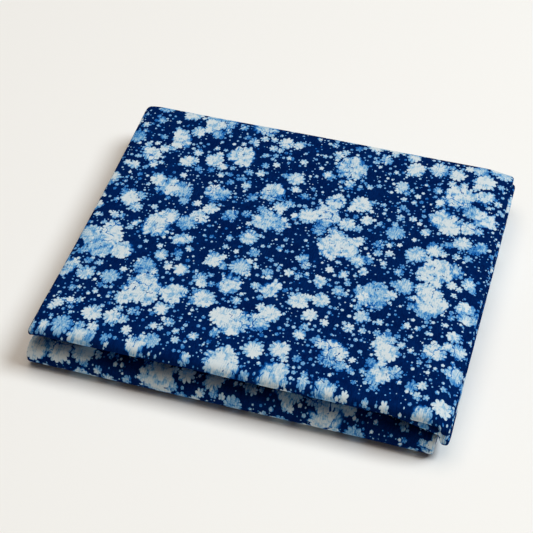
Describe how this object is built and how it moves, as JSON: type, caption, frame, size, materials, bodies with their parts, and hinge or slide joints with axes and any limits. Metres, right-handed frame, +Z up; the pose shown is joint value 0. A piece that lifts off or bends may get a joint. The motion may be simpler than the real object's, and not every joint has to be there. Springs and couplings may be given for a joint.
{
  "type": "folded adire cloth",
  "caption": "Indigo resist-dyed adire cotton, folded into a neat stack with a lip over a fuller fold at the front and a round spine at the back, lying flat.",
  "frame": {"origin": "on the surface the cloth lies on, under the middle of its outline", "axes": "+X along the folds to the right, +Y from the front folds to the spine, +Z up"},
  "size_m": [0.2973, 0.2505, 0.0449],
  "materials": {
    "dyed_cotton": "matt plain-woven cotton, deep indigo with a pale scattered resist pattern"
  },
  "bodies": {
    "root": {"adire_cloth": "dyed_cotton"}
  },
  "joints": []
}
